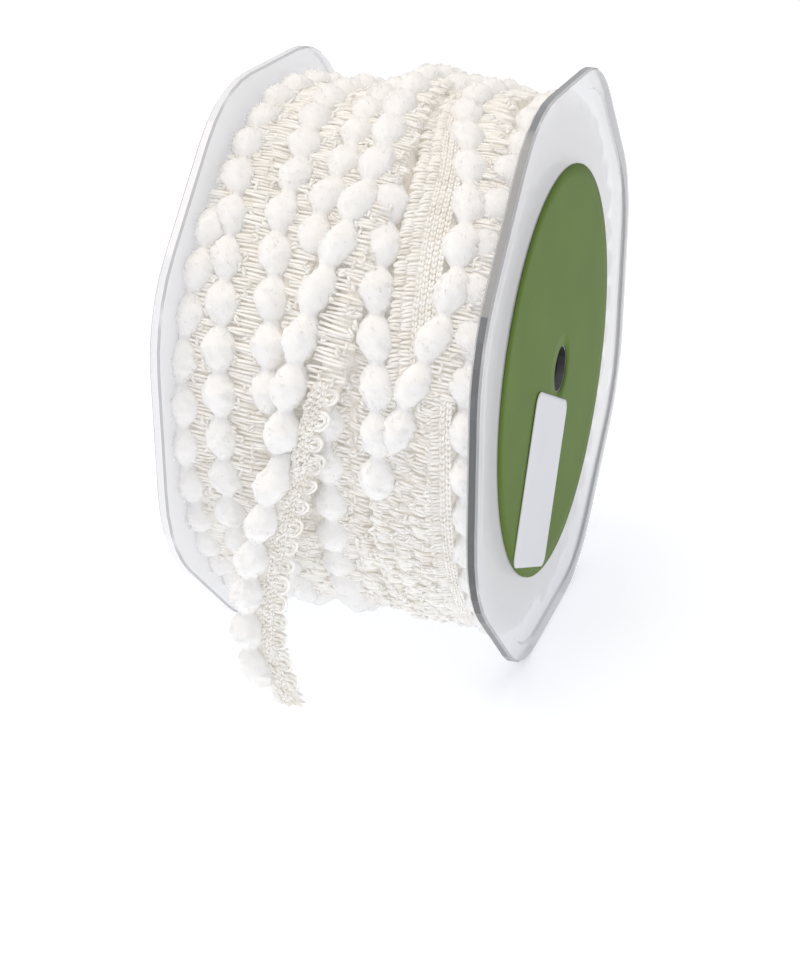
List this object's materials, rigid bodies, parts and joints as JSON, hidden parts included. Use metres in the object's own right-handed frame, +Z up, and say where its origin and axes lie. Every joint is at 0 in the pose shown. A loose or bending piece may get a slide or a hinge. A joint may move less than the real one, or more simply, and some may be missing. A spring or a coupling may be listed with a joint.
{
  "type": "pompom fringe trim on a spool",
  "caption": "Pompom fringe trim with a gimp braid edge, wound in overlapping turns on a clear octagonal spool, its loose end hanging in front.",
  "frame": {"origin": "on the surface the spool rests on, under the middle of the spool", "axes": "+X along the spool's axis towards the end with the label, -Y towards the side where the loose end hangs, +Z up"},
  "size_m": [0.0551, 0.101, 0.1],
  "materials": {
    "clear_plastic": "clear moulded polystyrene, polished",
    "trim_yarn": "white polyester: fluffy pompoms and a lustrous gimp braid",
    "label_paper": "green coated paper, bare",
    "sticker_paper": "white sticker paper, bare"
  },
  "bodies": {
    "root": {"flange_left": "clear_plastic", "flange_right": "clear_plastic", "spool_hub": "clear_plastic", "trim_roll": "trim_yarn", "trim_end": "trim_yarn", "label_disc": "label_paper", "label_sticker": "sticker_paper"}
  },
  "joints": []
}
